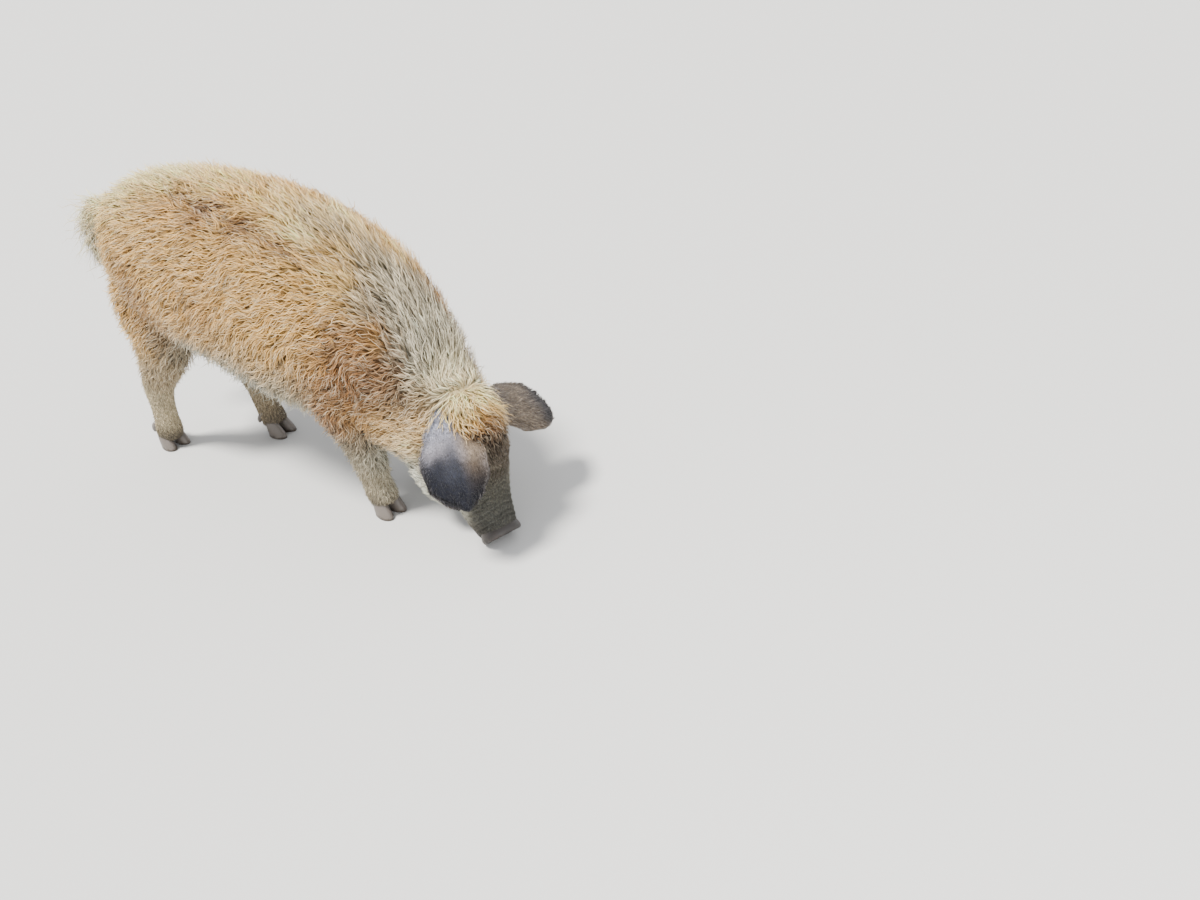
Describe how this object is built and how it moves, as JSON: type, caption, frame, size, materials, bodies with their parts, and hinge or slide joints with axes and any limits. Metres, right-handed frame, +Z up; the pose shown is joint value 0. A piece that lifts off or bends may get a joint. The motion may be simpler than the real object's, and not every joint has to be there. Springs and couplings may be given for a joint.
{
  "type": "life-size model of a mangalica pig",
  "caption": "Still life-size model of a curly-coated domestic pig with lop ears, standing with its head low and its snout on the ground.",
  "frame": {"origin": "middle of the whole animal's box in plan, at the level that its hooves stand on", "axes": "+X towards the head, +Y to the animal's left, +Z up"},
  "size_m": [1.4394, 0.4972, 0.8304],
  "materials": {
    "coat": "matte",
    "ear": "matte",
    "tail": "matte",
    "horn": "satin",
    "eye": "gloss"
  },
  "bodies": {
    "root": {"torso": "coat", "neck": "coat", "head": "coat", "ear_right": "ear", "ear_left": "ear", "eye_right": "eye", "eye_left": "eye", "tail": "tail", "leg_front_right": "coat", "leg_front_left": "coat", "leg_hind_right": "coat", "leg_hind_left": "coat", "hoof_front_right_outer": "horn", "dewclaw_front_right_outer": "horn", "hoof_front_right_inner": "horn", "dewclaw_front_right_inner": "horn", "hoof_front_left_outer": "horn", "dewclaw_front_left_outer": "horn", "hoof_front_left_inner": "horn", "dewclaw_front_left_inner": "horn", "hoof_hind_right_outer": "horn", "dewclaw_hind_right_outer": "horn", "hoof_hind_right_inner": "horn", "dewclaw_hind_right_inner": "horn", "hoof_hind_left_outer": "horn", "dewclaw_hind_left_outer": "horn", "hoof_hind_left_inner": "horn", "dewclaw_hind_left_inner": "horn"}
  },
  "joints": []
}
